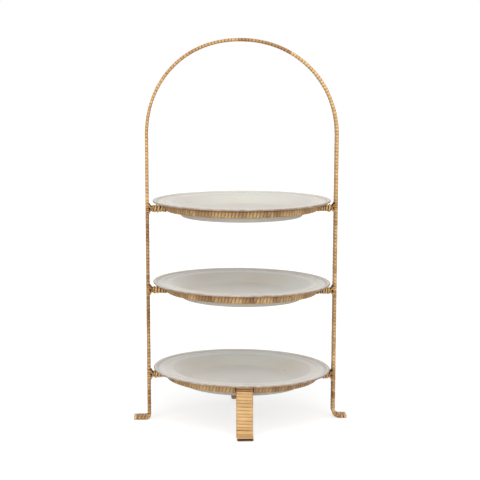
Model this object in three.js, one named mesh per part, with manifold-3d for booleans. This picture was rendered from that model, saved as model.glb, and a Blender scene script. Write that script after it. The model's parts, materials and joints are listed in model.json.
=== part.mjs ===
// Three-tier plate stand: a bent iron frame bound all over in split cane, holding three stoneware plates.
// Millimetres, +Z up, -Y is the front. The origin is on the floor, under the middle of the hoops.
import * as THREE from "three";
import { mergeVertices } from "three/addons/utils/BufferGeometryUtils.js";
import Module from "manifold-3d";

const wasm = await Module();
wasm.setup();

// Driving dimensions
const strap = { width: 19.4, thick: 2.6 };                 // flat iron bar of the arch and the legs
const cane = { thick: 0.75, gap: 0.15 };                   // split cane, and its gap over the iron
const cover = cane.thick + cane.gap;                       // what the binding adds to each iron face
const fit = 0.3;                                           // gap between pieces that butt together
const footLine = strap.thick / 2 + cover;                  // height of the iron's centre line in a foot
const arch = { spring: 370, halfWidth: 122.3, rise: 123.1, power: 2.09, lean: -2.5, steps: 32 };
const feet = [
  { name: "left", side: -1, tip: 141.2, base: 121.3, bend: 4.6, bendSteps: 4 },
  { name: "right", side: 1, tip: 137.4, base: 119.9, bend: 7.4, bendSteps: 2 },
];
const leg = { tip: 123.4, base: 99.7, bend: 5, bendSteps: 4 };   // front and back legs, out from the hoop
const hoop = { inner: 95.3, outer: 98.1, height: 6.7, segments: 48 };
const arm = { radius: 3.2, sides: 16 };                    // short rod from a hoop to an upright
const lashing = { radius: 4.35, flare: 7, flareLength: 6, height: 6.8 };
const tiers = {                                            // hoops are hand-set: two dip a little to the right
  bottom: { rim: 68.5, dip: 0.88, armDrop: 1.7 },          // rim plane, dip in degrees, and how far under
  middle: { rim: 181.9, dip: 0.67, armDrop: 3.2 },         // the hoop's middle the arms join it
  top: { rim: 288.5, dip: 0, armDrop: 2.5 },
};
const hoopDrop = 9.05;                                     // from a rim plane down to its hoop's middle
const armAngle = 2.2;                                      // half the break in a hoop's binding at an arm
const legAngle = 6.7;                                      // half the break at a leg
const toeRecess = 0.4;                                     // the iron stops this far inside its binding

const plateTop = [[111.4, -1.2], [94, -1.4], [88, -2.4], [81, -5.6], [74, -9.6], [67, -12.3], [61, -13], [0, -13]];
const plateEdge = [[114, -2.4], [115, -1], [114.5, -0.2], [113.5, 0], [112.3, -0.3]];
const plateUnder = [
  [0, -18], [72.5, -18.4], [74, -21], [78, -21], [79.2, -17], [83, -11.6], [88, -6.4], [94.4, -4.5], [99, -3.9],
];

// Materials
const iron = new THREE.MeshStandardMaterial({ color: 0x3b342d, roughness: 0.62, metalness: 0.8 });
const caneBinding = new THREE.MeshStandardMaterial({ color: 0xc79a63, roughness: 0.55, metalness: 0 });
const glaze = new THREE.MeshStandardMaterial({ color: 0xdedad0, roughness: 0.28, metalness: 0 });

const radians = THREE.MathUtils.degToRad;
const point = (x, y) => new THREE.Vector2(x, y);

// Solids: geometry with shared vertices merged, so that it can be joined and cut
function solidOf(geometry) {
  const bare = geometry.clone();
  bare.deleteAttribute("normal");
  bare.deleteAttribute("uv");
  const merged = mergeVertices(bare, 1e-3);
  return new wasm.Manifold(new wasm.Mesh({
    numProp: 3,
    vertProperties: merged.attributes.position.array,
    triVerts: new Uint32Array(merged.index.array),
  }));
}

function geometryOf(solid) {
  const mesh = solid.getMesh();
  const geometry = new THREE.BufferGeometry();
  geometry.setAttribute("position", new THREE.BufferAttribute(mesh.vertProperties, 3));
  geometry.setIndex(new THREE.BufferAttribute(mesh.triVerts, 1));
  geometry.computeVertexNormals();
  return geometry;
}

// Outline of a bar of even thickness that follows a centre line
function ribbonShape(line, thick) {
  const near = [];
  const far = [];
  line.forEach((at, i) => {
    const into = at.clone().sub(line[Math.max(i - 1, 0)]).normalize();
    const out = line[Math.min(i + 1, line.length - 1)].clone().sub(at).normalize();
    const along = into.clone().add(out).normalize();
    const straight = into.length() && out.length() ? along.dot(out) : 1;
    const side = point(-along.y, along.x).multiplyScalar(thick / 2 / straight);
    near.push(at.clone().add(side));
    far.push(at.clone().sub(side));
  });
  return new THREE.Shape([...near, ...far.reverse()]);
}

// A shape drawn in X and Z, given a width along Y
function acrossStrap(shape, width) {
  const geometry = new THREE.ExtrudeGeometry(shape, { depth: width, bevelEnabled: false });
  return geometry.rotateX(Math.PI / 2).translate(0, width / 2, 0);
}

function lengthened(line, by) {
  const [first, second] = line;
  const [last, beforeLast] = [line.at(-1), line.at(-2)];
  const start = first.clone().add(first.clone().sub(second).setLength(by));
  const end = last.clone().add(last.clone().sub(beforeLast).setLength(by));
  return [start, ...line.slice(1, -1), end];
}

const strapBar = (line) => acrossStrap(ribbonShape(line, strap.thick), strap.width);

// Cane binding round a stretch of strap, open at both ends
function strapSleeve(line) {
  const outer = acrossStrap(ribbonShape(line, strap.thick + 2 * cover), strap.width + 2 * cover);
  const inner = acrossStrap(
    ribbonShape(lengthened(line, 2), strap.thick + 2 * cane.gap), strap.width + 2 * cane.gap);
  return solidOf(outer).subtract(solidOf(inner));
}

// Centre lines, in X and Z. A foot runs from its toe, round its bend, to the start of its upright.
function footPoints({ side, tip, base, bend, bendSteps }, recess = 0) {
  const points = [point(side * (tip - recess), footLine)];
  for (let i = 0; i <= bendSteps; i++) {
    const turn = i / bendSteps * Math.PI / 2;
    points.push(point(side * (base + bend * (1 - Math.sin(turn))), footLine + bend * (1 - Math.cos(turn))));
  }
  return points;
}

function uprightPoint({ side, base, bend }, z) {
  const bottom = footLine + bend;
  const share = (z - bottom) / (arch.spring - bottom);
  return point(side * (base + (arch.halfWidth - base) * share), z);
}

// The arch is a superellipse, a little fuller than a half circle, and its crown leans to one side.
function archPoints() {
  const points = [];
  for (let i = 0; i <= arch.steps; i++) {
    const turn = Math.PI * (1 - i / arch.steps);
    const [c, s] = [Math.cos(turn), Math.max(Math.sin(turn), 0)];
    const reach = Math.sign(c) * Math.abs(c) ** (2 / arch.power);
    const lift = s ** (2 / arch.power);
    points.push(point(arch.halfWidth * reach + arch.lean * lift ** 2, arch.spring + arch.rise * lift));
  }
  return points;
}

// Hoops: sides keep to one polygon, so nested rings stay evenly spaced
function ringPoint(radius, degrees) {
  const step = 360 / hoop.segments;
  const within = ((degrees % step) + step) % step - step / 2;
  const r = radius * Math.cos(radians(step / 2)) / Math.cos(radians(within));
  return point(r * Math.cos(radians(degrees)), r * Math.sin(radians(degrees)));
}

function ringBand(inner, outer, height, from, to) {
  const step = 360 / hoop.segments;
  const angles = [from];
  for (let k = Math.floor(from / step) + 1; k * step < to - 1e-6; k++) angles.push(k * step);
  const whole = to - from >= 360;
  if (!whole) angles.push(to);
  const outside = angles.map((a) => ringPoint(outer, a));
  const inside = angles.map((a) => ringPoint(inner, a));
  const shape = new THREE.Shape(whole ? outside : [...outside, ...inside.reverse()]);
  if (whole) shape.holes.push(new THREE.Path(inside));
  const geometry = new THREE.ExtrudeGeometry(shape, { depth: height, bevelEnabled: false });
  return geometry.translate(0, 0, -height / 2);
}

function hoopSleeve(from, to) {
  const outer = ringBand(hoop.inner - cover, hoop.outer + cover, hoop.height + 2 * cover, from, to);
  const inner = ringBand(hoop.inner - cane.gap, hoop.outer + cane.gap, hoop.height + 2 * cane.gap, from - 3, to + 3);
  return solidOf(outer).subtract(solidOf(inner));
}

const hoopRing = () => ringBand(hoop.inner, hoop.outer, hoop.height, 0, 360);

// Turned shapes whose axis points out from the middle of the stand, along X
function turnedAlongX(profile, side) {
  const closed = [...profile, profile[0]].map(([r, x]) => point(r, x));
  return new THREE.LatheGeometry(closed, arm.sides).rotateZ(-side * Math.PI / 2);
}

function armRod(side, from, to, radius) {
  const rod = new THREE.CylinderGeometry(radius, radius, to - from, arm.sides);
  return rod.rotateZ(-side * Math.PI / 2).translate(side * (from + to) / 2, 0, 0);
}

// Inner face of an upright's iron, as a distance from the middle
const uprightFace = (foot, z) => Math.abs(uprightPoint(foot, z).x) - strap.thick / 2;

// Cane lashed round an arm, flared where it crosses onto the upright, and round the upright itself
function armLashing(foot, z) {
  const face = uprightFace(foot, z);
  const start = hoop.outer + cover + fit;
  const end = face - cane.gap - cane.thick / 2;
  const coil = turnedAlongX([
    [arm.radius + cane.gap, start],
    [lashing.radius - 0.5, start],
    [lashing.radius, start + 0.6],
    [lashing.radius, end - lashing.flareLength],
    [lashing.flare, end - 0.6],
    [lashing.flare, end],
    [arm.radius + cane.gap, end],
  ], foot.side).translate(0, 0, z);
  const round = strapSleeve([uprightPoint(foot, z - lashing.height), uprightPoint(foot, z + lashing.height)]);
  const hole = armRod(foot.side, face - 3, face - cane.gap / 2, arm.radius + cane.gap).translate(0, 0, z);
  return solidOf(coil).add(round).subtract(solidOf(hole));
}

// Cane bound round the head of a leg and the hoop together. X points out along the leg's foot,
// and the hoop is rolled round X by its dip there.
function legBinding(z, roll) {
  const outerX = leg.base + strap.thick / 2 + cover;
  const innerX = hoop.inner - cover;
  const height = hoop.height + 2 * cover;
  const block = new THREE.BoxGeometry(outerX - innerX, strap.width + 2 * cover, height);
  block.translate((outerX + innerX) / 2, 0, 0).rotateX(roll).translate(0, 0, z);
  const slotFrom = hoop.outer - 0.2;
  const slotTo = leg.base + strap.thick / 2 + cane.gap;
  const slot = new THREE.BoxGeometry(slotTo - slotFrom, strap.width + 2 * cane.gap, height);
  slot.translate((slotFrom + slotTo) / 2, 0, z - cane.thick);
  const ring = ringBand(hoop.inner - cane.gap, hoop.outer + cane.gap, hoop.height + 2 * cane.gap, -30, 30);
  ring.rotateX(roll).translate(0, 0, z);
  return solidOf(block).subtract(solidOf(slot)).subtract(solidOf(ring));
}

function plate() {
  const profile = [...plateUnder, ...plateEdge, ...plateTop].map(([r, z]) => point(r, z));
  return new THREE.LatheGeometry(profile, hoop.segments).rotateX(Math.PI / 2);
}

// Assembly
const stand = new THREE.Group();

function addPiece(name, shape, material) {
  const geometry = shape.isBufferGeometry ? shape : geometryOf(shape);
  const mesh = new THREE.Mesh(geometry, material);
  mesh.name = name;
  stand.add(mesh);
  return mesh;
}

// A piece drawn about the middle of a hoop, set at its tier's height and dip
function addToTier(tier, name, shape, material) {
  const mesh = addPiece(name, shape, material);
  mesh.position.z = hoopHeight(tier);
  mesh.rotation.y = radians(tiers[tier].dip);
  return mesh;
}

const hoopHeight = (tier) => tiers[tier].rim - hoopDrop;
const [leftFoot, rightFoot] = feet;

function armHeight(tier, foot) {
  const { dip, armDrop } = tiers[tier];
  return hoopHeight(tier) - foot.side * hoop.outer * Math.sin(radians(dip)) - armDrop;
}

// One bar, from the left toe over the arch to the right toe
addPiece("arch_strap", strapBar([
  ...footPoints(leftFoot, toeRecess),
  ...archPoints(),
  ...footPoints(rightFoot, toeRecess).reverse(),
]), iron);

// Binding of the arch bar, broken at each arm
const breakHalf = lashing.height + fit;
for (const foot of feet) {
  const [bottom, middle, top] = ["bottom", "middle", "top"].map((tier) => armHeight(tier, foot));
  addPiece(`${foot.name}_foot_wrap`,
    strapSleeve([...footPoints(foot), uprightPoint(foot, bottom - breakHalf)]), caneBinding);
  const between = (low, high) => strapSleeve([
    uprightPoint(foot, low + breakHalf), uprightPoint(foot, high - breakHalf)]);
  addPiece(`${foot.name}_lower_wrap`, between(bottom, middle), caneBinding);
  addPiece(`${foot.name}_upper_wrap`, between(middle, top), caneBinding);
}
addPiece("crown_wrap", strapSleeve([
  uprightPoint(leftFoot, armHeight("top", leftFoot) + breakHalf),
  ...archPoints(),
  uprightPoint(rightFoot, armHeight("top", rightFoot) + breakHalf),
]), caneBinding);

// Each tier: a hoop, an arm and its lashing on both sides, and a loose plate
for (const tier of Object.keys(tiers)) {
  addToTier(tier, `${tier}_ring_hoop`, hoopRing(), iron);
  for (const foot of feet) {
    const z = armHeight(tier, foot);
    const rod = armRod(foot.side, hoop.outer + fit, uprightFace(foot, z) - fit, arm.radius);
    addPiece(`${tier}_${foot.name}_arm`, rod.translate(0, 0, z), iron);
    addPiece(`${tier}_${foot.name}_lashing`, armLashing(foot, z), caneBinding);
  }
  addToTier(tier, `${tier}_plate`, plate().translate(0, 0, hoopDrop), glaze);
}

// Hoop bindings: halves between the arms, and quarters on the bottom hoop, which also carries the legs
for (const tier of ["middle", "top"]) {
  addToTier(tier, `${tier}_ring_back_wrap`, hoopSleeve(armAngle, 180 - armAngle), caneBinding);
  addToTier(tier, `${tier}_ring_front_wrap`, hoopSleeve(180 + armAngle, 360 - armAngle), caneBinding);
}
const quarters = [
  ["back_right", armAngle, 90 - legAngle],
  ["back_left", 90 + legAngle, 180 - armAngle],
  ["front_left", 180 + armAngle, 270 - legAngle],
  ["front_right", 270 + legAngle, 360 - armAngle],
];
for (const [corner, from, to] of quarters) {
  addToTier("bottom", `bottom_ring_${corner}_wrap`, hoopSleeve(from, to), caneBinding);
}

// Front and back legs, welded to the bottom hoop's outer face
const legFoot = { side: 1, ...leg };
const hoopTop = hoopHeight("bottom") + hoop.height / 2;
const legWrapTop = hoopHeight("bottom") - hoop.height / 2 - cover - fit;
for (const [name, turn] of [["front", -Math.PI / 2], ["back", Math.PI / 2]]) {
  const roll = Math.sign(turn) * radians(tiers.bottom.dip);
  const pieces = [
    addPiece(`${name}_leg_strap`, strapBar([...footPoints(legFoot, toeRecess), point(leg.base, hoopTop)]), iron),
    addPiece(`${name}_leg_wrap`, strapSleeve([...footPoints(legFoot), point(leg.base, legWrapTop)]), caneBinding),
    addPiece(`${name}_leg_binding`, legBinding(hoopHeight("bottom"), roll), caneBinding),
  ];
  for (const piece of pieces) piece.rotation.z = turn;
}

export default stand;
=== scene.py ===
import json
import math
import random
from bisect import bisect_right

import bpy
import numpy as np
from mathutils import Matrix, Vector


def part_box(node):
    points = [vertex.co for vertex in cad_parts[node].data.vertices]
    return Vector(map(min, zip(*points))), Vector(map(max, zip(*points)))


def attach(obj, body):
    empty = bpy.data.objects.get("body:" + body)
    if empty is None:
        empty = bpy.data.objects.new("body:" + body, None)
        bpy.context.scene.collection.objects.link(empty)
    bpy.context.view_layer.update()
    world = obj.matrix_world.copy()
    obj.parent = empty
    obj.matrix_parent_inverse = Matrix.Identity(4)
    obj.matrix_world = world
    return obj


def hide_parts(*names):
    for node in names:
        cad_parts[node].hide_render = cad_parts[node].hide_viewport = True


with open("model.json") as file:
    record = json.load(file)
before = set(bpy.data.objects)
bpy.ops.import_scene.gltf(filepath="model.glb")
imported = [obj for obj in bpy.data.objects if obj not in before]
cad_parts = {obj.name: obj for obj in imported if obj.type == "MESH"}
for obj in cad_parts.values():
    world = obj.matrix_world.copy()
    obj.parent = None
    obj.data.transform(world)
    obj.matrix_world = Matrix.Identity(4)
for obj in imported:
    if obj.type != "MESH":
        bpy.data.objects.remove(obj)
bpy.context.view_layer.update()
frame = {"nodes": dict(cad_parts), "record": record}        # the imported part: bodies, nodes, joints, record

mm = 0.001
print("frame loaded:", len(frame["nodes"]), "nodes")


def addObject(name, data):
    obj = bpy.data.objects.new(name, data)
    bpy.context.scene.collection.objects.link(obj)
    return obj


# Camera: a long lens a little above the top plate, slightly to the left of the stand
viewpoint = {
    "distance": 2.0,          # from the middle of the stand, along the floor
    "height": 0.502,
    "turn": math.radians(2.0),
    "down": math.radians(7.59),
    "aside": -0.0023,         # the stand sits this far right of the view's middle
    "focal": 116.72,
    "sensor": 36.0,
    "farEnd": 30,
}


def addCamera(v):
    data = bpy.data.cameras.new("viewCamera")
    data.sensor_width = v["sensor"]
    data.lens = v["focal"]
    data.clip_end = v["farEnd"]
    cam = addObject("viewCamera", data)
    c, s = math.cos(v["turn"]), math.sin(v["turn"])
    x = -v["distance"] * s + v["aside"] * c
    y = -v["distance"] * c - v["aside"] * s
    cam.location = (x, y, v["height"])
    cam.rotation_euler = (math.pi / 2 - v["down"], 0, -v["turn"])
    bpy.context.scene.camera = cam


addCamera(viewpoint)

# Sizes read from the frame


def middle(node, axis):
    low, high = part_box(node)
    return (low[axis] + high[axis]) / 2


def span(node, axis):
    low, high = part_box(node)
    return high[axis] - low[axis]


tiers = ["bottom", "middle", "top"]
sides = {"left": -1, "right": 1}
hoopHeight = {t: middle(f"{t}_ring_hoop", 2) for t in tiers}
armHeight = {f"{t}_{s}": middle(f"{t}_{s}_arm", 2) for t in tiers for s in sides}
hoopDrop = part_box("top_plate")[1][2] - hoopHeight["top"]  # from a plate's rim down to its hoop's middle
bodies = frame["record"]["behaviour"]["bodies"]
plateBody = {t: next(b for b, nodes in bodies.items() if f"{t}_plate" in nodes) for t in tiers}
standBody = "stand"

bar = {"wide": span("arch_strap", 1), "thick": 2.6 * mm, "edge": 1.0 * mm}
cover = span("crown_wrap", 1) / 2 - bar["wide"] / 2       # how far the binding stands off the iron
footLine = bar["thick"] / 2 + cover
arch = {
    "spring": 370 * mm,
    "halfWidth": 122.3 * mm,
    "power": 2.09,
    "lean": -2.5 * mm,
}
arch["rise"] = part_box("arch_strap")[1][2] - bar["thick"] / 2 - arch["spring"]
feet = {
    "left": {
        "side": -1,
        "tip": -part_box("left_foot_wrap")[0][0],
        "base": 121.3 * mm,
        "bend": 4.6 * mm,
        "steps": 12,
    },
    "right": {
        "side": 1,
        "tip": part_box("right_foot_wrap")[1][0],
        "base": 119.9 * mm,
        "bend": 7.4 * mm,
        "steps": 2,           # a heel folded in two steps
    },
}
leg = {"side": 1, "tip": -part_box("front_leg_wrap")[0][1], "base": 99.7 * mm, "bend": 5 * mm, "steps": 12}
hoop = {
    "outer": span("top_ring_hoop", 0) / 2,
    "thick": 2.8 * mm,
    "high": span("top_ring_hoop", 2),
    "edge": 1.0 * mm,
}
hoop["middle"] = hoop["outer"] - hoop["thick"] / 2
armRadius = span("top_left_arm", 2) / 2


# Place of a tier. The top hoop is level, and the others dip to the right, which makes their boxes taller.
def tierPlace(tier):
    dip = math.asin((span(f"{tier}_ring_hoop", 2) - hoop["high"]) / (2 * hoop["outer"]))
    return Matrix.Translation((0, 0, hoopHeight[tier])) @ Matrix.Rotation(dip, 4, "Y")


# Centre lines that the cane is wound along


class WoundLine:
    # A centre line with its directions. Distance along it is kept on the longer face of the bar,
    # so turns never open up on the outside of a bend.
    def __init__(self, points, across, halfThick):
        self.points = [Vector(p) for p in points]
        self.across = Vector(across)
        last = len(self.points) - 1
        self.along = []
        for i in range(last + 1):
            step = self.points[min(i + 1, last)] - self.points[max(i - 1, 0)]
            self.along.append(step.normalized())
        self.out = [a.cross(self.across).normalized() for a in self.along]
        self.reach = [0.0]
        for i in range(last):
            lengths = []
            for offset in (-halfThick, 0, halfThick):
                here = self.points[i] + self.out[i] * offset
                there = self.points[i + 1] + self.out[i + 1] * offset
                lengths.append((there - here).length)
            self.reach.append(self.reach[-1] + max(lengths))
        self.length = self.reach[-1]

    def at(self, s):
        i = min(max(bisect_right(self.reach, s) - 1, 0), len(self.points) - 2)
        t = (s - self.reach[i]) / (self.reach[i + 1] - self.reach[i])
        place = self.points[i].lerp(self.points[i + 1], t)
        return place, self.out[i].lerp(self.out[i + 1], min(max(t, 0), 1)).normalized()

    def spot(self, s, x, y):
        place, out = self.at(s)
        return place + out * x + self.across * y


def spaced(start, end, step):
    count = max(1, math.ceil((end - start).length / step))
    return [start.lerp(end, i / count) for i in range(count)]


# toe, bend and foot of an upright, in X and Z
def footPoints(f, fine=0.5 * mm):
    bendTop = Vector((f["side"] * f["base"], 0, footLine + f["bend"]))
    toe = Vector((f["side"] * f["tip"], 0, footLine))
    heel = Vector((f["side"] * (f["base"] + f["bend"]), 0, footLine))
    points = spaced(toe, heel, fine)
    for i in range(f["steps"]):
        a = i / f["steps"] * math.pi / 2
        points.append(Vector((f["side"] * (f["base"] + f["bend"] * (1 - math.sin(a))), 0,
                              footLine + f["bend"] * (1 - math.cos(a)))))
    return points + [bendTop]


def archPoints(steps=360):
    points = []
    for i in range(steps + 1):
        a = math.pi * (1 - i / steps)
        c, s = math.cos(a), max(math.sin(a), 0)
        lift = s ** (2 / arch["power"])
        x = arch["halfWidth"] * math.copysign(abs(c) ** (2 / arch["power"]), c) + arch["lean"] * lift ** 2
        points.append(Vector((x, 0, arch["spring"] + arch["rise"] * lift)))
    return points


def archLine():
    left, right = footPoints(feet["left"]), footPoints(feet["right"])
    crown = archPoints()
    points = left + spaced(left[-1], crown[0], 2 * mm)[1:] + crown
    points += spaced(crown[-1], right[-1], 2 * mm)[1:] + right[::-1]
    return WoundLine(points, (0, 1, 0), bar["thick"] / 2 + cover)


def legLine(towards):
    flat = footPoints(leg)
    top = Vector((leg["base"], 0, hoopHeight["bottom"]))
    flat = flat + spaced(flat[-1], top, 2 * mm)[1:] + [top]
    points = [Vector((0, towards * p.x, p.z)) for p in flat]
    return WoundLine(points, (1, 0, 0), bar["thick"] / 2 + cover)


def hoopLine(tier, start, end, steps=240):
    place = tierPlace(tier)
    points = []
    for i in range(steps + 1):
        a = math.radians(start + (end - start) * i / steps)
        points.append(place @ Vector((hoop["middle"] * math.cos(a), hoop["middle"] * math.sin(a), 0)))
    return WoundLine(points, place.to_3x3() @ Vector((0, 0, 1)), hoop["thick"] / 2)


# Cane strips

# Section of split cane, as shares of its width and its height: flat back, crowned skin side
flatCane = np.array([(-0.5, 0.12), (-0.45, 0.55), (-0.3, 0.88), (0, 1), (0.3, 0.88), (0.45, 0.55),
                     (0.5, 0.12), (0.4, 0), (-0.4, 0)])
roundCane = np.array([(-0.5, 0.05), (-0.46, 0.42), (-0.31, 0.8), (0, 1), (0.31, 0.8), (0.46, 0.42),
                      (0.5, 0.05), (0.34, 0), (-0.34, 0)])
softCane = flatCane * (1, 0.55) + (0, 0.45)      # a lower crown, for wide and evenly laid turns
softCane[-2:, 1] = 0


class CaneMesh:
    # Collects swept strips, with the tone and the place of every point on its strip
    def __init__(self):
        self.points, self.faces, self.tone, self.along, self.across = [], [], [], [], []
        self.total = 0

    def sweep(self, at, out, wide, high, tone, shape=flatCane, closed=False, began=0.0):
        at, out = np.array(at, float), np.array(out, float)
        n, k = len(at), len(shape)
        wide, high, tone = (np.broadcast_to(np.asarray(v, float), (n,)) for v in (wide, high, tone))
        if closed:
            ahead = np.roll(at, -1, 0) - np.roll(at, 1, 0)
        else:
            ahead = np.gradient(at, axis=0)
        ahead /= np.linalg.norm(ahead, axis=1)[:, None]
        out = out - ahead * (out * ahead).sum(1)[:, None]
        out /= np.linalg.norm(out, axis=1)[:, None]
        across = np.cross(ahead, out)
        section = across[:, None] * (shape[None, :, 0] * wide[:, None])[..., None]
        section = section + out[:, None] * (shape[None, :, 1] * high[:, None])[..., None]
        steps = np.linalg.norm(np.diff(at, axis=0), axis=1)
        gone = began + np.concatenate([[0], np.cumsum(steps)])
        self.points.append((at[:, None] + section).reshape(-1, 3))
        self.tone.append(np.repeat(tone, k))
        self.along.append(np.repeat(gone, k))
        self.across.append(np.tile(shape[:, 0], n))
        rows = n if closed else n - 1
        for i in range(rows):
            a, b = self.total + i * k, self.total + (i + 1) % n * k
            for j in range(k):
                self.faces.append((a + j, a + (j + 1) % k, b + (j + 1) % k, b + j))
        if not closed:
            last = self.total + (n - 1) * k
            self.faces.append(tuple(self.total + j for j in range(k))[::-1])
            self.faces.append(tuple(last + j for j in range(k)))
        self.total += n * k

    def piece(self, name, material, slot, *nodes):
        mesh = bpy.data.meshes.new(name)
        mesh.from_pydata(np.concatenate(self.points).tolist(), [], self.faces)
        layers = {"caneTone": self.tone, "caneAlong": self.along, "caneAcross": self.across}
        for label, values in layers.items():
            layer = mesh.attributes.new(label, "FLOAT", "POINT")
            layer.data.foreach_set("value", np.concatenate(values).astype(np.float32))
        mesh.shade_smooth()
        mesh.materials.append(material)
        obj = addObject(name, mesh)
        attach(obj, standBody)
        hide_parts(*nodes)


# Once round a bar's section, from the middle of its inner face: place, outward direction, share of the way
def barLoop(halfThick, halfWide, edge, faceSteps):
    corners = [(-1, -1), (1, -1), (1, 1), (-1, 1)]
    points = []
    for q, (cx, cy) in enumerate(corners):
        for i in range(4):
            a = math.pi + q * math.pi / 2 + i * math.pi / 6
            nx, ny = math.cos(a), math.sin(a)
            points.append((cx * (halfThick - edge) + edge * nx, cy * (halfWide - edge) + edge * ny, nx, ny))
        if q == 1:
            reach = halfWide - edge
            points += [(halfThick, reach * (2 * j / faceSteps - 1), 1, 0) for j in range(1, faceSteps)]
    reach = halfWide - edge
    inner = [(-halfThick, reach * (1 - 2 * j / faceSteps), -1, 0) for j in range(1, faceSteps)]
    half = len(inner) // 2
    points = inner[half:] + points + inner[:half]
    return withShares(points)


def roundLoop(radius, count=16):
    turn = [(math.cos(2 * math.pi * i / count), math.sin(2 * math.pi * i / count)) for i in range(count)]
    return withShares([(radius * c, radius * s, c, s) for c, s in turn])


def withShares(points):
    gone = [0.0]
    for a, b in zip(points, points[1:] + points[:1]):
        gone.append(gone[-1] + math.hypot(b[0] - a[0], b[1] - a[1]))
    return [(*p, g / gone[-1]) for p, g in zip(points, gone)]


def ease(t):
    return t * t * (3 - 2 * t)


# Winds one strip from start to end, each turn against the last, with its own width, height and tone.
# The strip widens out of a point and runs out in one, as if its ends were tucked under their neighbours.
def wind(cane, line, start, end, loop, look, seed, toneAt=None, shape=flatCane):
    rng = random.Random(seed)
    turns = max(1, round((end - start) / look["pitch"]))
    pitch = (end - start) / turns
    slip = [rng.gauss(0, look["drift"]) if 0 < k < turns else 0 for k in range(turns + 1)]
    swell = [1 + rng.uniform(-1, 1) * look["swell"] for _ in range(turns + 2)]
    shade = [look["tone"] + rng.gauss(0, look["toneSpread"]) for _ in range(turns + 2)]
    if "knuckle" in look:    # one turn that stands proud, counted back from the end
        swell[turns - look["knuckle"]] *= 1.5

    def edge(u):
        # how far along the line the strip's leading edge is after u turns
        u = min(max(u, 0), turns)
        k = min(int(u), turns - 1)
        t = ease(u - k)
        return start + pitch * (u + slip[k] * (1 - t) + slip[k + 1] * t)

    def advance(share):
        # strips that lie level across a bar's outer face climb on its inner one
        return ease(share) if look.get("level") else share

    at, out, wide, high, tone = [], [], [], [], []
    probe = 0.2 * mm
    for turn in range(turns + 1):
        for x, y, nx, ny, share in loop:
            t = ease(share)
            back, front = edge(turn + advance(share) - 1), edge(turn + advance(share))
            s = (back + front) / 2
            place, face = line.at(s)
            at.append(line.spot(s, x, y))
            out.append(face * nx + line.across * ny)
            pinch = (line.spot(s + probe, x, y) - line.spot(s - probe, x, y)).length / (2 * probe)
            wide.append(max((front - back) * min(max(pinch, 0.4), 1) * look.get("fill", 1), 0.25 * mm))
            high.append(look["high"] * (swell[turn] * (1 - t) + swell[turn + 1] * t))
            base = toneAt(s) if toneAt else 0
            tone.append(base + shade[turn] * (1 - t) + shade[turn + 1] * t)
    cane.sweep(at, out, wide, high, tone, shape=shape, began=rng.uniform(0, 3))


# Materials


def newMaterial(name):
    mat = bpy.data.materials.new(name)
    mat.use_nodes = True
    return mat, mat.node_tree, mat.node_tree.nodes["Principled BSDF"]


def addNode(tree, kind, x, y, **settings):
    node = tree.nodes.new(kind)
    node.location = (x, y)
    for key, value in settings.items():
        setattr(node, key, value)
    return node


# Gives a node its inputs: another node's output is linked, and anything else is set as a value
def feed(tree, node, inputs):
    for label, value in inputs.items():
        if isinstance(value, bpy.types.NodeSocket):
            tree.links.new(value, node.inputs[label])
        else:
            node.inputs[label].default_value = value


def maths(tree, kind, x, y, *inputs, clamp=False):
    node = addNode(tree, "ShaderNodeMath", x, y, operation=kind, use_clamp=clamp)
    feed(tree, node, dict(enumerate(inputs)))
    return node.outputs[0]


def mixed(tree, x, y, factor, a, b):
    node = addNode(tree, "ShaderNodeMix", x, y, data_type="RGBA")
    feed(tree, node, {"Factor": factor, "A": a, "B": b})
    return node.outputs["Result"]


def noise(tree, x, y, place, scale, detail=2.0, roughness=0.5):
    node = addNode(tree, "ShaderNodeTexNoise", x, y)
    feed(tree, node, {"Vector": place, "Scale": scale, "Detail": detail, "Roughness": roughness})
    return node.outputs["Fac"]


def ramp(tree, x, y, factor, stops):
    node = addNode(tree, "ShaderNodeValToRGB", x, y)
    points = node.color_ramp.elements
    while len(points) < len(stops):
        points.new(0.5)
    for point, (place, colour) in zip(points, stops):
        point.position = place
        point.color = (*colour, 1)
    feed(tree, node, {"Fac": factor})
    return node.outputs["Color"]


def relief(tree, x, y, height, strength, depth):
    node = addNode(tree, "ShaderNodeBump", x, y)
    feed(tree, node, {"Height": height, "Strength": strength, "Distance": depth})
    return node.outputs["Normal"]


def objectPlace(tree, x, y):
    return addNode(tree, "ShaderNodeTexCoord", x, y).outputs["Object"]


caneLook = {
    "fibre": (60.0, 13.0, 7.0),    # noise along the strip, across it, and from one tone to the next
    "stain": 70.0,
    "stainDepth": 0.5,
    "joints": 5.3,                 # in a metre of strip
    "jointSize": 0.003,            # share of the way from one joint to the next
    "jointGrime": 0.3,
    "edgePower": 3.2,              # higher keeps the painted shade closer to the edges
    "roughness": 0.42,
    "fibreRoughness": 0.22,
    "reliefDepth": 0.1 * mm,
    "coat": 0.12,
    "coatRoughness": 0.35,
}
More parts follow.
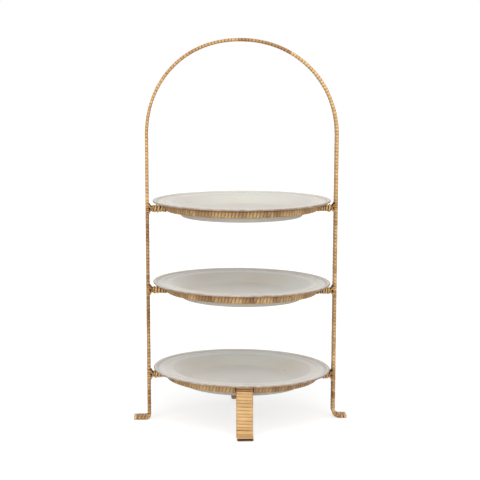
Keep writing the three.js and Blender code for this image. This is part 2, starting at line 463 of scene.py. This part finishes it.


# Fibres, mottling, joints of the stem and painted shade in the gaps between turns. Every cane material uses
# it.
def caneGroup(look):
    group = bpy.data.node_groups.new("caneGrain", "ShaderNodeTree")
    face = group.interface
    for label, kind, value in (("Pale", "NodeSocketColor", (0.7, 0.5, 0.28, 1)),
                               ("Deep", "NodeSocketColor", (0.4, 0.22, 0.08, 1)),
                               ("ShadeAndJoints", "NodeSocketColor", (0.08, 0.045, 0.015, 1)),
                               ("Fibre", "NodeSocketFloat", 0.3),
                               ("GapShade", "NodeSocketFloat", 0.8)):
        face.new_socket(label, in_out="INPUT", socket_type=kind).default_value = value
    face.new_socket("Colour", in_out="OUTPUT", socket_type="NodeSocketColor")
    face.new_socket("Roughness", in_out="OUTPUT", socket_type="NodeSocketFloat")
    face.new_socket("Height", in_out="OUTPUT", socket_type="NodeSocketFloat")
    given = addNode(group, "NodeGroupInput", -1400, 0).outputs
    result = addNode(group, "NodeGroupOutput", 900, 0)
    along, across, tone = (
        addNode(group, "ShaderNodeAttribute", -1400, y, attribute_name=label).outputs["Fac"]
        for label, y in (("caneAlong", 350), ("caneAcross", 200), ("caneTone", 500))
    )
    # fibres run with the strip
    place = addNode(group, "ShaderNodeCombineXYZ", -1000, 350)
    for i, (value, scale) in enumerate(zip((along, across, tone), look["fibre"])):
        feed(group, place, {i: maths(group, "MULTIPLY", -1200, 500 - 150 * i, value, scale)})
    fibre = noise(group, -800, 350, place.outputs[0], 1.0, 4.0, 0.6)
    # slow stains over the stand
    stain = noise(group, -800, 0, objectPlace(group, -1000, -100), look["stain"], 3.0)
    # joints of the stem are thin dark rings round the strip
    turn = maths(group, "MULTIPLY", -1000, 620, along, look["joints"])
    turn = maths(group, "FRACT", -800, 620, turn)
    joint = maths(group, "LESS_THAN", -600, 620, turn, look["jointSize"])
    # tone of the strip
    lift = maths(group, "SUBTRACT", -700, 350, fibre, 0.5)
    lift = maths(group, "MULTIPLY", -600, 350, lift, given["Fibre"])
    patch = maths(group, "SUBTRACT", -700, 0, stain, 0.5)
    patch = maths(group, "MULTIPLY", -600, 0, patch, look["stainDepth"])
    level = maths(group, "ADD", -500, 250, tone, lift)
    level = maths(group, "ADD", -400, 200, level, patch, clamp=True)
    strip = mixed(group, -200, 200, level, given["Deep"], given["Pale"])
    # painted shade along both edges, where the turns meet, and dark marks on the joints of the stem
    edge = maths(group, "ABSOLUTE", -700, -300, across)
    edge = maths(group, "MULTIPLY", -600, -300, edge, 2.0, clamp=True)
    edge = maths(group, "POWER", -500, -300, edge, look["edgePower"])
    edgeShade = maths(group, "MULTIPLY", -350, -300, edge, given["GapShade"])
    jointGrime = maths(group, "MULTIPLY", -350, 620, joint, look["jointGrime"])
    shadeOrJoint = maths(group, "MAXIMUM", -200, -300, edgeShade, jointGrime)
    rough = maths(group, "MULTIPLY", 150, -100, fibre, look["fibreRoughness"])
    feed(group, result, {
        "Colour": mixed(group, 100, 150, shadeOrJoint, strip, given["ShadeAndJoints"]),
        "Roughness": maths(group, "ADD", 300, -100, look["roughness"], rough),
        "Height": maths(group, "SUBTRACT", 300, -300, fibre, joint),
    })
    return group


caneGrain = caneGroup(caneLook)


def caneMaterial(name, pale, deep, shadeAndJointColour, fibre, gapShade, bump):
    mat, tree, shader = newMaterial(name)
    grain = addNode(tree, "ShaderNodeGroup", -600, 100, node_tree=caneGrain)
    feed(tree, grain, {
        "Pale": (*pale, 1),
        "Deep": (*deep, 1),
        "ShadeAndJoints": (*shadeAndJointColour, 1),
        "Fibre": fibre,
        "GapShade": gapShade,
    })
    feed(tree, shader, {
        "Base Color": grain.outputs["Colour"],
        "Roughness": grain.outputs["Roughness"],
        "Normal": relief(tree, -300, -200, grain.outputs["Height"], bump, caneLook["reliefDepth"]),
        "Coat Weight": caneLook["coat"],
        "Coat Roughness": caneLook["coatRoughness"],
    })
    return mat


# the darkest colour is both painted shade in the gaps between turns and the dark joints of the stem
caneColours = {
    "pale": (0.69, 0.44, 0.195),
    "deep": (0.265, 0.108, 0.014),
    "shadeAndJointColour": (0.04, 0.018, 0.005),
}
hoopColours = {**caneColours, "deep": (0.30, 0.15, 0.05)}
# the lashings get a paler cane colour: painted light that makes up for the shadow of the plates over them
lashingColoursLit = {**caneColours, "pale": (0.80, 0.50, 0.22)}
# the gap value sets how much painted shade lies in the gaps between turns
caneBinding = caneMaterial("caneBinding", **caneColours, fibre=0.45, gapShade=0.66, bump=0.5)
caneEven = caneMaterial("caneEven", **caneColours, fibre=0.4, gapShade=0.4, bump=0.4)
caneHoops = caneMaterial("caneHoops", **hoopColours, fibre=0.5, gapShade=0.65, bump=0.6)
caneLashing = caneMaterial("caneLashing", **lashingColoursLit, fibre=0.5, gapShade=0.95, bump=0.5)

iron = {
    "scale": 320.0,
    "colours": [(0.3, (0.02, 0.014, 0.01)), (0.62, (0.045, 0.03, 0.02)), (0.8, (0.11, 0.055, 0.03))],
    "roughness": 0.15,
    "relief": 0.4,
    "reliefDepth": 0.15 * mm,
    "metallic": 0.6,
}


def ironMaterial(look):
    mat, tree, shader = newMaterial("blackenedIron")
    scale = noise(tree, -700, 0, objectPlace(tree, -900, 0), look["scale"], 5.0)
    feed(tree, shader, {
        "Base Color": ramp(tree, -450, 100, scale, look["colours"]),
        "Roughness": maths(tree, "ADD", -450, -150, scale, look["roughness"]),
        "Normal": relief(tree, -250, -300, scale, look["relief"], look["reliefDepth"]),
        "Metallic": look["metallic"],
    })
    return mat


blackenedIron = ironMaterial(iron)
for node in frame["nodes"]:
    if node.endswith(("_strap", "_hoop", "_arm")):
        piece = frame["nodes"][node]
        piece.data.materials.clear()
        piece.data.materials.append(blackenedIron)
print("materials made")

# Winding the bars

barCane = {
    "pitch": 4.4 * mm,
    "high": cover,
    "drift": 0.07,        # how unevenly the turns are laid, as a share of their pitch
    "swell": 0.1,
    "tone": 0.74,
    "toneSpread": 0.18,
    "level": True,
}
crownCane = {**barCane, "drift": 0.05, "swell": 0.06, "tone": 0.6, "toneSpread": 0.08}
legCane = {**barCane, "drift": 0.05, "toneSpread": 0.1}
headCane = {**barCane, "pitch": 2.85 * mm, "drift": 0.03, "swell": 0.08, "tone": 0.42, "toneSpread": 0.2}
hoopCane = {"pitch": 4.45 * mm, "high": cover, "drift": 0.09, "swell": 0.12, "tone": 0.6, "toneSpread": 0.34}
toe = {
    "groove": 0.9 * mm,
    "lastTurn": 3.6 * mm,
    "folds": 4,
    "fold": 0.55 * mm,
    "tail": 2.5 * mm,     # how far a folded strip runs back under the last turn
}

barSection = barLoop(bar["thick"] / 2, bar["wide"] / 2, bar["edge"], 4)
hoopSection = barLoop(hoop["thick"] / 2, hoop["high"] / 2, hoop["edge"], 3)


# The last turn on a toe, set a little apart, over strips folded round the end of the iron
def finishToe(cane, line, end, inward, seed, folds=toe["folds"]):
    rng = random.Random(seed)
    s = end + inward * toe["lastTurn"] / 2
    at, out = [], []
    for x, y, nx, ny, _ in barSection:
        at.append(line.spot(s, x, y))
        out.append(line.at(s)[1] * nx + line.across * ny)
    cane.sweep(at, out, toe["lastTurn"], cover, barCane["tone"] + 0.1, closed=True)
    half = bar["thick"] / 2
    width = bar["wide"] / max(folds, 1)
    for i in range(folds):
        y = (i + 0.5 - folds / 2) * width
        at, out = [], []
        centre = end + inward * (half + toe["fold"])
        ahead = line.across.cross(line.at(end)[1]) * inward
        for a in np.linspace(-1.4, 1.4, 9):
            outward = line.at(centre)[1] * math.sin(a) - ahead * math.cos(a)
            at.append(line.spot(centre, 0, y) + outward * half)
            out.append(outward)
        face = line.at(centre)[1]
        below, above = (line.spot(centre + inward * toe["tail"], flip * half, y) for flip in (-1, 1))
        at, out = [below, *at, above], [-face, *out, face]
        cane.sweep(at, out, width * 0.97, toe["fold"], 0.5 + rng.uniform(-0.2, 0.1))


uprightLine = archLine()


# distance along the arch bar at which the left or right upright passes a height
def archReach(side, height):
    def passed(i):
        p = uprightLine.points[i]
        return p.z >= height and abs(p.x) < 1.2 * arch["halfWidth"]
    order = range(len(uprightLine.points))
    i = next(k for k in (order if side < 0 else reversed(order)) if passed(k))
    j = i - 1 if side < 0 else i + 1
    t = (height - uprightLine.points[j].z) / (uprightLine.points[i].z - uprightLine.points[j].z)
    return uprightLine.reach[j] + (uprightLine.reach[i] - uprightLine.reach[j]) * t


# Strands were joined where a bundle ran out, and each stretch has its own tone: partly the bundle's own
# colour, partly painted shade, which makes the left upright darker than the crown and the right upright, and
# the right upright darker towards the bottom
crownJoins = {-1: 450 * mm, 1: 477 * mm}     # heights of the two joins in the crown's binding
archBundlesAndShade = [                                # where each stretch ends, from the left toe, and its tone, bundle colour and painted shade together
    (archReach(-1, 67 * mm), -0.46),
    (archReach(-1, 114 * mm), -0.34),
    (archReach(-1, 178 * mm), -0.6),
    (archReach(-1, 227 * mm), -0.58),
    (archReach(-1, 284 * mm), -0.56),
    (archReach(-1, crownJoins[-1]), 0.06),
    (uprightLine.length / 2, -0.12),
    (archReach(1, crownJoins[1]), -0.3),
    (archReach(1, 400 * mm), 0.3),
    (archReach(1, 300 * mm), 0.1),
    (archReach(1, 227 * mm), -0.1),
    (archReach(1, 183 * mm), -0.04),
    (archReach(1, 67 * mm), -0.12),
    (uprightLine.length + 1, -0.3),
]


def archToneAndShade(s):
    return next(tone for end, tone in sorted(archBundlesAndShade) if s < end)


def spanOf(node, side):
    low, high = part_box(node)
    return sorted((archReach(side, low[2]), archReach(side, high[2])))


seed = 11
for name, side in sides.items():
    for part in ("foot", "lower", "upper"):
        node = f"{name}_{part}_wrap"
        seed += 1
        cane = CaneMesh()
        if part == "foot":
            top = archReach(side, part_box(node)[1][2])
            back = toe["lastTurn"] + toe["groove"]
            start, end = (back, top) if side < 0 else (top, uprightLine.length - back)
            finishToe(cane, uprightLine, 0 if side < 0 else uprightLine.length, -side, seed)
        else:
            start, end = spanOf(node, side)
        wind(cane, uprightLine, start, end, barSection, barCane, seed, archToneAndShade)
        cane.piece(f"{name}_{part}_cane", caneBinding, "cane_wrap", node)

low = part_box("crown_wrap")[0][2]
cane = CaneMesh()
joins = [archReach(*join) for join in ((-1, low), *crownJoins.items(), (1, low))]
for i, (start, end) in enumerate(zip(joins, joins[1:])):
    wind(cane, uprightLine, start, end, barSection, crownCane, 40 + i, archToneAndShade)
cane.piece("crown_cane", caneEven, "cane_wrap", "crown_wrap")

for name, towards in (("front", -1), ("back", 1)):
    line = legLine(towards)
    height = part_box(f"{name}_leg_wrap")[1][2] - toe["groove"]
    top = next(s for s, p in zip(line.reach, line.points) if p.z >= height)
    cane = CaneMesh()
    finishToe(cane, line, 0, 1, 60 + towards, folds=0)    # the iron shows at the end of these two
    wind(cane, line, toe["lastTurn"] + toe["groove"], top, barSection, legCane, 70 + towards, shape=softCane)
    cane.piece(f"{name}_leg_cane", caneEven, "cane_wrap", f"{name}_leg_wrap")
    # strands across the head of the leg and the hoop behind it
    inner, outer = hoop["outer"] - hoop["thick"], leg["base"] + bar["thick"] / 2
    tier = tierPlace("bottom")
    reach = hoop["high"] / 2 + cover
    head = WoundLine([tier @ Vector((0, towards * (inner + outer) / 2, h)) for h in (-reach, reach)],
                     tier.to_3x3() @ Vector((1, 0, 0)), 0)
    cane = CaneMesh()
    headSection = barLoop((outer - inner) / 2, bar["wide"] / 2, bar["edge"], 4)
    wind(cane, head, 0, head.length, headSection, headCane, 80 + towards)
    cane.piece(f"{name}_leg_head_cane", caneLashing, "cane_lashing", f"{name}_leg_binding")
print("bars wound")

# Winding the hoops


def sector(node):
    # start and end angle of a hoop binding, from its corners
    points = np.array([v.co[:2] for v in frame["nodes"][node].data.vertices])
    angles = np.degrees(np.arctan2(points[:, 1], points[:, 0])) % 360
    ordered = np.sort(angles)
    gaps = np.diff(np.concatenate([ordered, [ordered[0] + 360]]))
    i = int(gaps.argmax())
    start = ordered[(i + 1) % len(ordered)]
    return start, start + 360 - gaps[i]


hoopNodes = [n for n in frame["nodes"] if "_ring_" in n and n.endswith("_wrap")]
for i, node in enumerate(sorted(hoopNodes)):
    start, end = sector(node)
    line = hoopLine(node.split("_")[0], start, end)
    cane = CaneMesh()
    slow = random.Random(200 + i)
    waves = [(slow.uniform(0.02, 0.06), slow.uniform(60, 160), slow.uniform(0, 6)) for _ in range(3)]
    wind(cane, line, 0, line.length, hoopSection, hoopCane, 100 + i,
         lambda s: sum(a * math.sin(f * s + p) for a, f, p in waves))
    cane.piece(node.replace("_wrap", "_cane"), caneHoops, "cane_wrap", node)
print("hoops wound")

# Lashings at the arms

coil = {
    "top_left": {"plain": 0, "turns": 4, "knuckle": 1},
    "top_right": {"plain": 9 * mm, "turns": 2, "knuckle": 0},
    "middle_left": {"plain": 0, "turns": 4, "knuckle": 0},
    "middle_right": {"plain": 6 * mm, "turns": 3},
    "bottom_left": {"plain": 5 * mm, "turns": 3, "knuckle": 0},
    "bottom_right": {"plain": 4 * mm, "turns": 3, "knuckle": 1},
}
coilCane = {"high": 1.5 * mm, "drift": 0.05, "swell": 0.14, "tone": 0.95, "toneSpread": 0.2, "fill": 0.86}
plainCane = {**coilCane, "pitch": 3.1 * mm, "high": 0.95 * mm, "swell": 0.05}
cross = {
    "wide": 2.7 * mm,
    "high": cover,
    # from above or below the arm, height on the upright, reach along the arm
    "strands": [(1, 5.75 * mm, 6.2 * mm), (1, 2.9 * mm, 0.3 * mm), (1, 0.1 * mm, 0.2 * mm),
                (-1, 2.8 * mm, 0.3 * mm), (-1, 5.75 * mm, 5.2 * mm)],
    "saddle": (1.9 * mm, 1.6 * mm),    # height and reach where the arm meets the hoop
    "stop": 5.0 * mm,                  # bare arm between the coil and the upright
}


def uprightX(side, z):
    f = feet["left" if side < 0 else "right"]
    bottom = footLine + f["bend"]
    return f["base"] + (arch["halfWidth"] - f["base"]) * (z - bottom) / (arch["spring"] - bottom)


# Closed curve through points, with directions carried along
def rounded(places, faces, steps=6):
    at, out = [], []
    n = len(places)
    for i in range(n):
        a, b, c, d = (np.array(places[(i + k) % n]) for k in (-1, 0, 1, 2))
        fa, fb = np.array(faces[i], float), np.array(faces[(i + 1) % n], float)
        for j in range(steps):
            t = j / steps
            bent = 2 * b + (c - a) * t + (2 * a - 5 * b + 4 * c - d) * t ** 2
            at.append(0.5 * (bent + (3 * b - a - 3 * c + d) * t ** 3))
            out.append(fa * (1 - t) + fb * t)
    return at, out


# One strand round a bar and the rod that leaves it.
# The bar's own axes point away from the rod, across the bar and along it.
def crossStrand(cane, centre, axes, half, wide, drop, way, lift, reach, rng):
    up = way * lift
    side = [
        ((half, 0.45 * wide, up), (1, 0, 0)),
        ((half, wide - 1.2 * mm, up), (1, 0.1, 0)),
        ((0.2 * mm, wide + 0.1 * mm, up), (0.1, 1, 0)),
        ((-half - 0.2 * mm, wide - 0.7 * mm, up - way * 0.3 * mm), (-0.7, 0.7, 0)),
        ((-half - reach * 0.45, wide * 0.55 + armRadius * 0.45, up * 0.4), (-0.6, 0.75, 0)),
        ((-half - reach, armRadius * 0.95, -way * armRadius * 0.55), (-0.1, 0.85, -way * 0.5)),
    ]
    under = [((-half - reach - 0.3 * mm, 0, -way * (armRadius + 0.1 * mm)), (0, 0, -way))]
    places, faces = [], []
    for flip, run in ((-1, side), (1, under), (1, side[::-1])):
        for (a, y, h), (na, ny, nh) in run:
            share = min(max((half - a) / (2 * half), 0), 1)    # the rod may sit off the bar's middle
            y = y * flip + (drop * share if a < -half else 0)
            places.append(centre + axes @ Vector((a, y, h)))
            faces.append(axes @ Vector((na, ny * flip, nh)))
    at, out = rounded(places, faces)
    # the strands are toned low: painted shade in the hollows where the arms meet the upright and the hoop
    cane.sweep(at, out, cross["wide"] * rng.uniform(0.94, 1.02), cross["high"] * rng.uniform(0.95, 1.1),
               0.45 + rng.gauss(0, 0.15), closed=True)


for i, (place, c) in enumerate(coil.items()):
    tier, sideName = place.split("_")
    side, z = sides[sideName], armHeight[place]
    node = f"{place}_lashing"
    rng = random.Random(300 + i)
    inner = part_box(node)[0][0] if side > 0 else -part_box(node)[1][0]
    outer = uprightX(side, z) - bar["thick"] / 2 - cross["stop"]
    armLine = WoundLine([(side * inner, 0, z), (side * outer, 0, z)], (0, 0, 1), 0)
    cane = CaneMesh()
    if c["plain"]:
        wind(cane, armLine, 0, c["plain"], roundLoop(armRadius), plainCane, 320 + i)
    room = armLine.length - c["plain"]
    look = {**coilCane, "pitch": room / c["turns"]}
    if "knuckle" in c:
        look["knuckle"] = c["knuckle"]
    wind(cane, armLine, c["plain"], armLine.length, roundLoop(armRadius), look, 340 + i, shape=roundCane)
    upright = Matrix(((side, 0, 0), (0, 1, 0), (0, 0, 1)))
    crossing = Vector((side * uprightX(side, z), 0, z))
    for way, lift, reach in cross["strands"]:
        crossStrand(cane, crossing, upright, bar["thick"] / 2, bar["wide"] / 2, 0, way, lift, reach, rng)
    # and over the hoop at the arm's other end
    hoopEnd = tierPlace(tier) @ Vector((side * hoop["middle"], 0, 0))
    ring = tierPlace(tier).to_3x3() @ Matrix(((-side, 0, 0), (0, 0, 1), (0, 1, 0)))
    drop = z - hoopEnd.z
    for way in (1, -1):
        crossStrand(cane, hoopEnd, ring, hoop["thick"] / 2, hoop["high"] / 2, drop, way, *cross["saddle"], rng)
    cane.piece(f"{place}_lashing_cane", caneLashing, "cane_lashing", node)
print("arms lashed")

# Plates

plate = {
    "radius": span("top_plate", 0) / 2,
    "beads": 202,
    "beadRow": 100.6 * mm,
    "beadRadius": 1.4 * mm,
    "beadHigh": 0.95 * mm,
    "beadFloor": -1.55 * mm,    # the flat that the beads stand on, under the rim's top
    "stepsPerBead": 8,
    "wobble": 0.22 * mm,
}
# outline from the middle of the floor, over the rim and lip, under the plate to the middle of its foot
plateInside = [
    (12, -13), (24, -13), (36, -13), (48, -13), (56, -13), (61, -12.95), (64.5, -12.6), (67.5, -11.9),
    (71, -10.6), (75, -8.7), (79, -6.5), (82.5, -4.6), (85.5, -3.2), (87.3, -2.55), (88.4, -2.2),
    (89.3, -2.25), (90.4, -2.2), (93, -1.9), (96, -1.7), (98.2, -1.6),
]
beadBand = [-1.75, -1.3, -0.9, -0.45, 0, 0.45, 0.9, 1.3, 1.75]
plateLip = [
    (103.2, -1.5), (105.5, -1.45), (107.6, -1.45), (108.8, -1.6), (109.5, -1.75), (110.2, -1.6),
    (110.9, -1.0), (111.7, -0.4), (112.6, -0.08), (113.5, 0), (114.3, -0.2), (114.85, -0.75),
    (115, -1.4), (114.7, -2.1), (114, -2.55),
]
plateOutside = [
    (112, -2.8), (108, -3.15), (104, -3.45), (100, -3.8), (96, -4.3), (93, -4.75), (90.5, -5.5),
    (88, -6.6), (85.5, -8.6), (83, -11.4), (81, -14.2), (79.6, -17), (78.9, -19.2), (78.3, -20.4),
    (77.4, -21),
]
plateFoot = [(76, -21), (74.8, -21)]
plateBase = [
    (74, -20.5), (73.3, -19.3), (72.2, -18.5), (70, -18.15), (60, -18), (45, -18), (30, -18), (15, -18),
]

glaze = {
    "cream": [(0.36, (0.585, 0.54, 0.47)), (0.5, (0.60, 0.572, 0.52)), (0.64, (0.59, 0.585, 0.54))],
    "cloud": 16.0,
    "clay": (0.27, 0.155, 0.115, 1),
    # rings where the glaze runs thin: radius, half width, how far the clay shows
    "thin": [(109.7 * mm, 1.2 * mm, 0.5), (115 * mm, 1.1 * mm, 0.95), (88.5 * mm, 1.2 * mm, 0.14),
             (100.6 * mm, 1.8 * mm, 0.1)],
    "ragged": 140.0,
    "raggedness": 1.7,
    "white": (0.80, 0.78, 0.77, 1),
    "whiteBand": (7.5 * mm, 1.6, 0.32),    # half width, flatness, strength
    # painted shade between the beads on the rim
    "beadGapShade": (0.27, 0.23, 0.23, 1),
    "beadGapShadeRow": (1.9 * mm, 3.0, 0.75),       # half width, sharpness, strength
    "speck": (0.30, 0.21, 0.15, 1),
    "speckScale": 95.0,
    "speckStrength": 0.55,
    "speckPatches": 60.0,
    "speckFew": 0.56,                      # higher leaves fewer specks
    "speckSize": 1.1,
    "roughness": 0.29,
    "cloudRoughness": 0.04,
    "clayRoughness": 0.3,
    "relief": 0.03,
    "reliefDepth": 0.3 * mm,
}


def glazeMaterial(look):
    mat, tree, shader = newMaterial("creamGlaze")
    spot = objectPlace(tree, -1600, 0)
    split = addNode(tree, "ShaderNodeSeparateXYZ", -1400, -300)
    feed(tree, split, {0: spot})
    xx = maths(tree, "POWER", -1200, -250, split.outputs[0], 2.0)
    yy = maths(tree, "POWER", -1200, -400, split.outputs[1], 2.0)
    fromAxis = maths(tree, "SQRT", -1000, -300, maths(tree, "ADD", -1100, -300, xx, yy))

    def ring(y, radius, halfWide, full=1.0):
        away = maths(tree, "SUBTRACT", -800, y, fromAxis, radius)
        away = maths(tree, "ABSOLUTE", -700, y, away)
        away = maths(tree, "DIVIDE", -600, y, away, halfWide)
        return maths(tree, "SUBTRACT", -500, y, full, away, clamp=True)

    # slow cloudy shifts between warm and cool cream
    cloud = noise(tree, -1300, 300, spot, look["cloud"])
    body = ramp(tree, -1100, 300, cloud, look["cream"])
    # the glaze runs thin over edges and beads and shows the clay
    ragged = noise(tree, -1300, 0, spot, look["ragged"], 4.0)
    thin = 0.0
    for radius, halfWide, amount in look["thin"]:
        part = maths(tree, "MULTIPLY", -400, -300, ring(-300, radius, halfWide), amount)
        thin = maths(tree, "MAXIMUM", -300, -300, thin, part)
    uneven = maths(tree, "MULTIPLY", -350, 0, ragged, look["raggedness"])
    patchy = maths(tree, "MULTIPLY", -200, -200, thin, uneven, clamp=True)
    colour = mixed(tree, 0, 200, patchy, body, look["clay"])
    # on the band around the beads the glaze is whiter
    wide, flat, strength = look["whiteBand"]
    band = maths(tree, "MULTIPLY", 0, -900, ring(-900, plate["beadRow"], wide, flat), strength)
    colour = mixed(tree, 100, 350, band, colour, look["white"])
    # painted shade between the beads
    wide, sharp, strength = look["beadGapShadeRow"]
    turn = maths(tree, "ARCTAN2", -1200, -550, split.outputs[1], split.outputs[0])
    turn = maths(tree, "MULTIPLY", -1050, -550, turn, plate["beads"] / (2 * math.pi))
    share = maths(tree, "FRACT", -900, -550, turn)
    gapShade = maths(tree, "MULTIPLY_ADD", -800, -550, share, 2.0, -1.0)
    gapShade = maths(tree, "POWER", -600, -550, maths(tree, "ABSOLUTE", -700, -550, gapShade), sharp)
    gapShade = maths(tree, "MULTIPLY", -200, -750, ring(-750, plate["beadRow"], wide), gapShade)
    colour = mixed(tree, 200, 350, maths(tree, "MULTIPLY", 0, -750, gapShade, strength), colour, look["beadGapShade"])
    # small iron specks
    speck = addNode(tree, "ShaderNodeTexVoronoi", -1300, 700)
    feed(tree, speck, {"Vector": spot, "Scale": look["speckScale"]})
    size = noise(tree, -1300, 900, spot, look["speckPatches"])
    size = maths(tree, "SUBTRACT", -1100, 900, size, look["speckFew"], clamp=True)
    size = maths(tree, "MULTIPLY", -1000, 900, size, look["speckSize"])
    dot = maths(tree, "LESS_THAN", -900, 700, speck.outputs["Distance"], size)
    dot = maths(tree, "MULTIPLY", 100, 600, dot, look["speckStrength"])
    rough = maths(tree, "MULTIPLY", 50, -100, cloud, look["cloudRoughness"])
    rough = maths(tree, "ADD", 200, -100, look["roughness"], rough)
    bareRough = maths(tree, "MULTIPLY", 200, -250, patchy, look["clayRoughness"])
    feed(tree, shader, {
        "Base Color": mixed(tree, 250, 200, dot, colour, look["speck"]),
        "Roughness": maths(tree, "ADD", 350, -100, rough, bareRough),
        "Normal": relief(tree, 350, -350, cloud, look["relief"], look["reliefDepth"]),
        "IOR": 1.5,
    })
    return mat


clay = {
    "grit": 600.0,
    "colours": [(0.3, (0.36, 0.27, 0.19)), (0.7, (0.55, 0.45, 0.34))],
    "relief": 0.5,
    "reliefDepth": 0.1 * mm,
    "roughness": 0.85,
}


def clayMaterial(look):
    mat, tree, shader = newMaterial("bareClay")
    grit = noise(tree, -700, 0, objectPlace(tree, -900, 0), look["grit"], 4.0)
    feed(tree, shader, {
        "Base Color": ramp(tree, -450, 100, grit, look["colours"]),
        "Normal": relief(tree, -250, -300, grit, look["relief"], look["reliefDepth"]),
        "Roughness": look["roughness"],
    })
    return mat


creamGlaze = glazeMaterial(glaze)
bareClay = clayMaterial(clay)


# One row of points round the plate. Beads rise where the row crosses them.
def plateRow(radius, height, count, waves, beadAway=None):
    points = []
    share = (radius / plate["radius"]) ** 2
    for i in range(count):
        a = 2 * math.pi * i / count
        z = height
        if beadAway is not None:
            part = (i / plate["stepsPerBead"]) % 1 - 0.5
            sideways = part * 2 * math.pi * plate["beadRow"] / plate["beads"]
            away = math.hypot(sideways, beadAway) / plate["beadRadius"]
            z += plate["beadHigh"] * max(0.0, 1 - away ** 2) ** 0.7
        z += share * sum(h * math.sin(k * a + p) for h, k, p in waves)
        points.append((radius * math.cos(a), radius * math.sin(a), z))
    return points


# The points of a row, from index first on, that lie on part i of a number of equal parts
def stretch(first, count, i, parts):
    step = count // parts
    return [first + (i * step + k) % count for k in range(step + 1)]


def turnPlate(tier, seed):
    rng = random.Random(seed)
    place = tierPlace(tier)
    waves = [(plate["wobble"] * rng.uniform(0.3, 0.6) / k, k, rng.uniform(0, 6.28)) for k in (2, 3, 5)]
    rows = [(r * mm, z * mm, plate["beads"], None) for r, z in plateInside]
    fine = plate["beads"] * plate["stepsPerBead"]
    rows += [(plate["beadRow"] + d * mm, plate["beadFloor"], fine, d * mm) for d in beadBand]
    firstClay = len(rows) + len(plateLip) + len(plateOutside)
    under = plateLip + plateOutside + plateFoot + plateBase
    rows += [(r * mm, z * mm, plate["beads"], None) for r, z in under]
    points, faces, bare, starts = [], [], [], []
    for r, z, count, away in rows:
        starts.append((len(points), count))
        points += [place @ Vector(p) for p in plateRow(r, hoopDrop + z, count, waves, away)]
    for row, ((a, m), (b, n)) in enumerate(zip(starts, starts[1:])):
        parts = min(m, n)
        for i in range(parts):
            faces.append(tuple(stretch(b, n, i, parts) + stretch(a, m, i, parts)[::-1]))
        bare += [firstClay - 1 <= row < firstClay + len(plateFoot)] * parts
    faces.append(tuple(range(starts[0][1])))
    last, count = starts[-1]
    faces.append(tuple(last + i for i in range(count))[::-1])
    bare += [False, False]
    mesh = bpy.data.meshes.new(f"{tier}_glazed_plate")
    mesh.from_pydata(points, [], faces)
    mesh.shade_smooth()
    mesh.materials.append(creamGlaze)
    mesh.materials.append(bareClay)
    for face, isBare in zip(mesh.polygons, bare):
        face.material_index = int(isBare)
    obj = addObject(f"{tier}_glazed_plate", mesh)
    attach(obj, plateBody[tier])
    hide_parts(f"{tier}_plate")


for i, tier in enumerate(tiers):
    turnPlate(tier, 500 + i)
print("plates turned")

# Studio

white = (1.0, 1.0, 1.0)
studio = {
    "floor": 12.0,                      # half the width of the floor
    "tent": 0.42,                       # light from all around
    "bounce": (0.55, 0.55, 0.54, 1),    # how much of it the floor throws back up
    "seen": (0.4, 0.4, 0.4, 1),         # the same as the camera sees it, which takes shadows
    "glow": 0.7,                        # and its own light, which leaves only a faint shadow
    "lights": {
        "keyLight": {"high": 20, "aside": -4, "spread": 90, "strength": 4.15, "colour": (1.0, 0.985, 0.96)},
        "backdropLight": {"high": 14, "aside": 180, "spread": 70, "strength": 0.55, "colour": white},
        "overheadLight": {"high": 86, "aside": 0, "spread": 60, "strength": 0.2, "colour": white},
    },
}


def addFloor():
    mesh = bpy.data.meshes.new("paleFloor")
    h = studio["floor"]
    mesh.from_pydata([(-h, -h, 0), (h, -h, 0), (h, h, 0), (-h, h, 0)], [], [(0, 1, 2, 3)])
    mat, tree, shader = newMaterial("paleFloor")
    seen = addNode(tree, "ShaderNodeLightPath", -600, 0).outputs["Is Camera Ray"]
    feed(tree, shader, {
        "Base Color": mixed(tree, -300, 0, seen, studio["bounce"], studio["seen"]),
        "Emission Color": (*white, 1),
        "Emission Strength": maths(tree, "MULTIPLY", -300, -250, seen, studio["glow"]),
        "Roughness": 0.9,
        "Specular IOR Level": 0.1,
    })
    mesh.materials.append(mat)
    addObject("paleFloor", mesh)


# A big soft light, far enough off that the floor is evenly lit
def addSoftLight(name, look):
    data = bpy.data.lights.new(name, "SUN")
    data.angle = math.radians(look["spread"])
    data.energy = look["strength"]
    data.color = look["colour"]
    high, aside = math.radians(look["high"]), math.radians(look["aside"])
    towards = Vector((math.cos(high) * math.sin(aside), -math.cos(high) * math.cos(aside), math.sin(high)))
    obj = addObject(name, data)
    obj.rotation_euler = towards.to_track_quat("Z", "Y").to_euler()
    obj.location = towards * 2


def addTent():
    world = bpy.data.worlds.new("lightTent")
    world.use_nodes = True
    tree = world.node_tree
    seen = addNode(tree, "ShaderNodeLightPath", -500, 0).outputs["Is Camera Ray"]
    feed(tree, tree.nodes["Background"], {
        "Color": (*white, 1),
        "Strength": maths(tree, "MAXIMUM", -250, 0, seen, studio["tent"]),
    })
    bpy.context.scene.world = world


addFloor()
for name, look in studio["lights"].items():
    addSoftLight(name, look)
addTent()
bpy.context.scene.view_settings.view_transform = "Standard"
print("studio lit")
